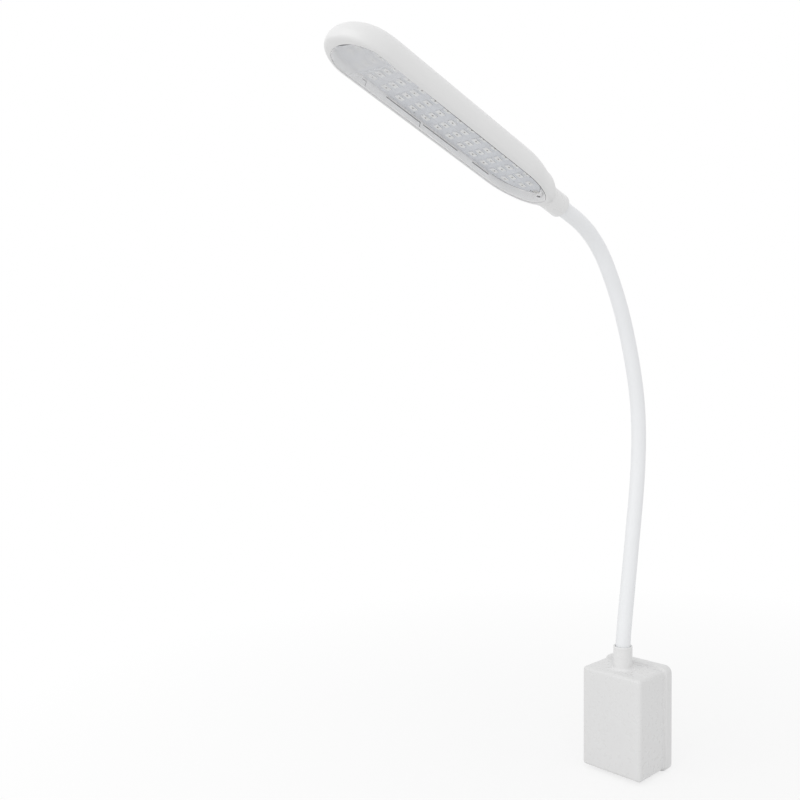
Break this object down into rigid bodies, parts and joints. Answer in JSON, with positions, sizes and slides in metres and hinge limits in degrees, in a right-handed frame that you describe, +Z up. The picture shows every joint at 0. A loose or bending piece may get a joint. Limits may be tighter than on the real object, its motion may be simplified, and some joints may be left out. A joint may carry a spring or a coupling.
{
  "type": "plant grow lamp",
  "caption": "Wall-plug plant grow lamp: box base with a side rocker switch, bendable gooseneck and a long round-nosed head with a clear window over an LED board.",
  "frame": {"origin": "midway between the two plug pins on the rear face of the rear cover", "axes": "+Y along the plug pins into the wall, +Z up along the wall, +X to the right as seen from in front of the lamp"},
  "size_m": [0.0615, 0.3126, 0.4916],
  "materials": {
    "white_shell": "satin",
    "cover_plastic": "satin",
    "sheath": "satin",
    "core_steel": "satin",
    "wire_insulation": "satin",
    "mains_insulation": "satin",
    "screw_steel": "satin",
    "plated_brass": "polished",
    "contact_brass": "satin",
    "ferrule_steel": "satin",
    "circuit_board": "satin",
    "ferrite": "matte",
    "can": "satin",
    "package": "matte",
    "copper": "satin",
    "fuse_body": "gloss",
    "switch_black": "satin",
    "rocker_black": "satin",
    "plunger": "satin",
    "tray": "satin",
    "pad": "matte",
    "led_board": "satin",
    "led_package": "satin",
    "clear_window": "gloss"
  },
  "bodies": {
    "base": {"base_front_shell": "white_shell", "base_rear_cover": "cover_plastic", "cover_screws": "screw_steel", "plug_pins": "plated_brass", "driver_board": "circuit_board", "transformer": "ferrite", "capacitors": "can", "rectifier": "package", "choke": "copper", "fuse": "fuse_body", "driver_chip": "package", "switch_body": "switch_black", "switch_terminals": "contact_brass", "mains_wires": "mains_insulation", "output_wires": "wire_insulation", "lower_ferrule": "ferrule_steel", "lower_nut": "ferrule_steel", "neck_sheath_0": "sheath", "neck_core_0": "core_steel", "neck_wires_0": "wire_insulation"},
    "rocker": {"rocker": "rocker_black", "rocker_plunger": "plunger"},
    "contact_lever": {"contact_lever": "contact_brass"},
    "neck_1": {"neck_sheath_1": "sheath", "neck_core_1": "core_steel", "neck_wires_1": "wire_insulation"},
    "neck_2": {"neck_sheath_2": "sheath", "neck_core_2": "core_steel", "neck_wires_2": "wire_insulation"},
    "neck_3": {"neck_sheath_3": "sheath", "neck_core_3": "core_steel", "neck_wires_3": "wire_insulation"},
    "neck_4": {"neck_sheath_4": "sheath", "neck_core_4": "core_steel", "neck_wires_4": "wire_insulation"},
    "neck_5": {"neck_sheath_5": "sheath", "neck_core_5": "core_steel", "neck_wires_5": "wire_insulation"},
    "neck_6": {"neck_sheath_6": "sheath", "neck_core_6": "core_steel", "neck_wires_6": "wire_insulation"},
    "neck_7": {"neck_sheath_7": "sheath", "neck_core_7": "core_steel", "neck_wires_7": "wire_insulation"},
    "head": {"neck_sheath_8": "sheath", "neck_core_8": "core_steel", "neck_wires_8": "wire_insulation", "neck_sleeve": "white_shell", "upper_ferrule": "ferrule_steel", "neck_screw": "screw_steel", "head_housing": "white_shell", "led_tray": "tray", "tray_screws": "screw_steel", "thermal_pad": "pad", "led_board": "led_board", "led_chips": "led_package", "lens_cover": "clear_window", "head_wires": "wire_insulation"}
  },
  "joints": [
    {"name": "neck_bend_1", "type": "hinge", "parent": "base", "child": "neck_1", "pos_m": [0, -0.02246, 0.06862], "axis": [1, 0, 0], "range_deg": [-25, 25]},
    {"name": "neck_sway_2", "type": "hinge", "parent": "neck_1", "child": "neck_2", "pos_m": [0, -0.01495, 0.11603], "axis": [0, 0.9877, -0.1564], "range_deg": [-25, 25]},
    {"name": "neck_bend_3", "type": "hinge", "parent": "neck_2", "child": "neck_3", "pos_m": [0, -0.00745, 0.16344], "axis": [1, 0, 0], "range_deg": [-25, 25]},
    {"name": "neck_sway_4", "type": "hinge", "parent": "neck_3", "child": "neck_4", "pos_m": [0, -0.00327, 0.21122], "axis": [0, 0.9998, -0.0175], "range_deg": [-25, 25]},
    {"name": "neck_bend_5", "type": "hinge", "parent": "neck_4", "child": "neck_5", "pos_m": [0, -0.00868, 0.25877], "axis": [1, 0, 0], "range_deg": [-25, 25]},
    {"name": "neck_sway_6", "type": "hinge", "parent": "neck_5", "child": "neck_6", "pos_m": [0, -0.0239, 0.30424], "axis": [0, 0.9205, 0.3907], "range_deg": [-25, 25]},
    {"name": "neck_bend_7", "type": "hinge", "parent": "neck_6", "child": "neck_7", "pos_m": [0, -0.04748, 0.34593], "axis": [1, 0, 0], "range_deg": [-25, 25]},
    {"name": "neck_sway_8", "type": "hinge", "parent": "neck_7", "child": "head", "pos_m": [0, -0.08547, 0.37404], "axis": [0, 0.3256, 0.9455], "range_deg": [-25, 25]},
    {"name": "rocker_tilt", "type": "hinge", "parent": "base", "child": "rocker", "pos_m": [-0.02725, -0.024, 0.002], "axis": [0, -1, 0], "range_deg": [0, 24]},
    {"name": "lever_rock", "type": "hinge", "parent": "base", "child": "contact_lever", "pos_m": [-0.0191, -0.024, 0.002], "axis": [0, -1, 0], "range_deg": [-14, 2]}
  ],
  "couplings": [
    {"joint": "lever_rock", "follows": "rocker_tilt", "ratio": -0.5}
  ]
}
